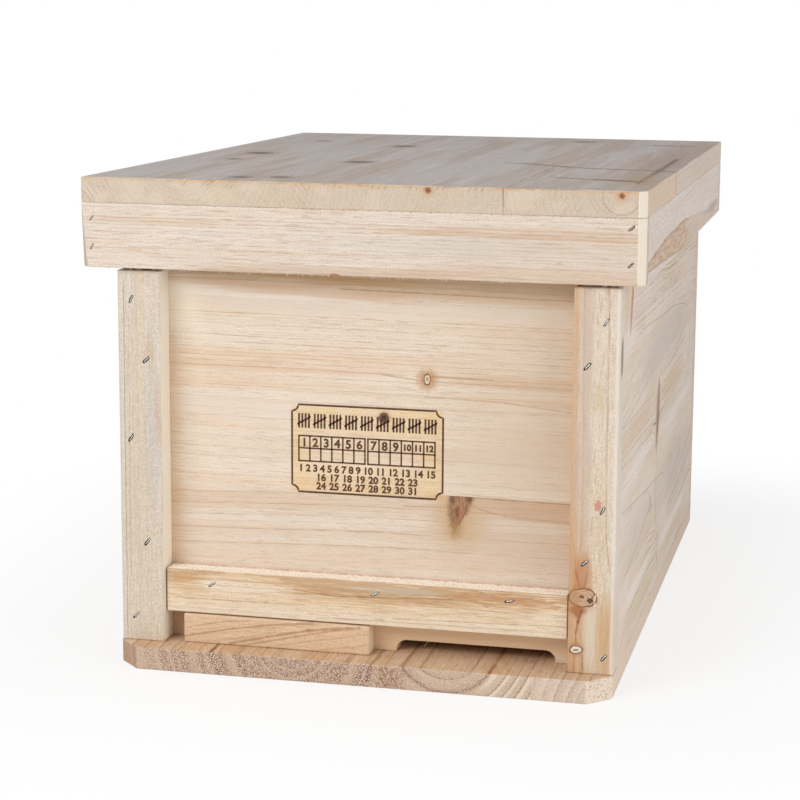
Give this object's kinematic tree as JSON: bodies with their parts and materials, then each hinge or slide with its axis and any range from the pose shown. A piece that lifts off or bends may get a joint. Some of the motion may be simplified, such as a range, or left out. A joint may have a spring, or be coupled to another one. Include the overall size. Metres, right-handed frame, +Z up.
{
  "type": "wooden beehive",
  "caption": "Unpainted wooden box beehive with a flat overhanging lid, a mesh inner cover, hanging frames, front corner posts and a sliding block that shuts the entrance notch.",
  "frame": {"origin": "on the ground, under the middle of the box", "axes": "+Z up, the entrance faces -Y, +X to the right seen from the entrance side"},
  "size_m": [0.372, 0.5357, 0.3288],
  "materials": {
    "wall_wood": "sawn and planed, unpainted fir",
    "post_wood": "planed, unpainted fir",
    "floor_wood": "planed, unpainted fir",
    "entrance_wood": "planed, unpainted fir",
    "lid_board_wood": "weathered, unpainted fir",
    "lid_rim_wood": "planed, unpainted fir",
    "cover_wood": "planed, unpainted fir",
    "frame_wood": "planed, unpainted fir",
    "staple_steel": "galvanised wire",
    "mesh_steel": "galvanised wire mesh"
  },
  "bodies": {
    "hive_body": {"floor_board_left": "floor_wood", "floor_board_middle": "floor_wood", "floor_board_right": "floor_wood", "side_wall_left": "wall_wood", "side_wall_right": "wall_wood", "front_wall_lower": "wall_wood", "front_wall_upper": "wall_wood", "back_wall": "wall_wood", "corner_post_left": "post_wood", "corner_post_right": "post_wood", "entrance_rail": "entrance_wood", "body_staples": "staple_steel"},
    "entrance_slider": {"entrance_slider": "entrance_wood"},
    "frame_1": {"frame_1_top_bar": "frame_wood", "frame_1_end_bar_front": "frame_wood", "frame_1_end_bar_back": "frame_wood", "frame_1_bottom_bar": "frame_wood"},
    "frame_2": {"frame_2_top_bar": "frame_wood", "frame_2_end_bar_front": "frame_wood", "frame_2_end_bar_back": "frame_wood", "frame_2_bottom_bar": "frame_wood"},
    "frame_3": {"frame_3_top_bar": "frame_wood", "frame_3_end_bar_front": "frame_wood", "frame_3_end_bar_back": "frame_wood", "frame_3_bottom_bar": "frame_wood"},
    "frame_4": {"frame_4_top_bar": "frame_wood", "frame_4_end_bar_front": "frame_wood", "frame_4_end_bar_back": "frame_wood", "frame_4_bottom_bar": "frame_wood"},
    "frame_5": {"frame_5_top_bar": "frame_wood", "frame_5_end_bar_front": "frame_wood", "frame_5_end_bar_back": "frame_wood", "frame_5_bottom_bar": "frame_wood"},
    "frame_6": {"frame_6_top_bar": "frame_wood", "frame_6_end_bar_front": "frame_wood", "frame_6_end_bar_back": "frame_wood", "frame_6_bottom_bar": "frame_wood"},
    "frame_7": {"frame_7_top_bar": "frame_wood", "frame_7_end_bar_front": "frame_wood", "frame_7_end_bar_back": "frame_wood", "frame_7_bottom_bar": "frame_wood"},
    "frame_8": {"frame_8_top_bar": "frame_wood", "frame_8_end_bar_front": "frame_wood", "frame_8_end_bar_back": "frame_wood", "frame_8_bottom_bar": "frame_wood"},
    "inner_cover": {"inner_cover_rail_left": "cover_wood", "inner_cover_rail_right": "cover_wood", "inner_cover_rail_front": "cover_wood", "inner_cover_rail_back": "cover_wood", "inner_cover_mesh": "mesh_steel"},
    "lid": {"lid_board_left": "lid_board_wood", "lid_board_right": "lid_board_wood", "lid_rim_front": "lid_rim_wood", "lid_rim_back": "lid_rim_wood", "lid_rim_left": "lid_rim_wood", "lid_rim_right": "lid_rim_wood", "lid_ledger_left": "lid_rim_wood", "lid_ledger_right": "lid_rim_wood", "lid_staples": "staple_steel"}
  },
  "joints": [
    {"name": "entrance_slide", "type": "slide", "parent": "hive_body", "child": "entrance_slider", "axis": [1, 0, 0], "range_m": [-0.0125, 0.133]},
    {"name": "frame_8_lift", "type": "slide", "parent": "hive_body", "child": "frame_8", "axis": [0, 0, 1], "range_m": [0, 0.262]},
    {"name": "frame_7_lift", "type": "slide", "parent": "frame_8", "child": "frame_7", "axis": [0, 0, 1], "range_m": [0, 0.262]},
    {"name": "frame_6_lift", "type": "slide", "parent": "frame_7", "child": "frame_6", "axis": [0, 0, 1], "range_m": [0, 0.262]},
    {"name": "frame_5_lift", "type": "slide", "parent": "frame_6", "child": "frame_5", "axis": [0, 0, 1], "range_m": [0, 0.262]},
    {"name": "frame_4_lift", "type": "slide", "parent": "frame_5", "child": "frame_4", "axis": [0, 0, 1], "range_m": [0, 0.262]},
    {"name": "frame_3_lift", "type": "slide", "parent": "frame_4", "child": "frame_3", "axis": [0, 0, 1], "range_m": [0, 0.262]},
    {"name": "frame_2_lift", "type": "slide", "parent": "frame_3", "child": "frame_2", "axis": [0, 0, 1], "range_m": [0, 0.262]},
    {"name": "frame_1_lift", "type": "slide", "parent": "frame_2", "child": "frame_1", "axis": [0, 0, 1], "range_m": [0, 0.262]},
    {"name": "inner_cover_lift", "type": "slide", "parent": "frame_1", "child": "inner_cover", "axis": [0, 0, 1], "range_m": [0, 0.12]},
    {"name": "lid_lift", "type": "slide", "parent": "inner_cover", "child": "lid", "axis": [0, 0, 1], "range_m": [0, 0.25]}
  ]
}
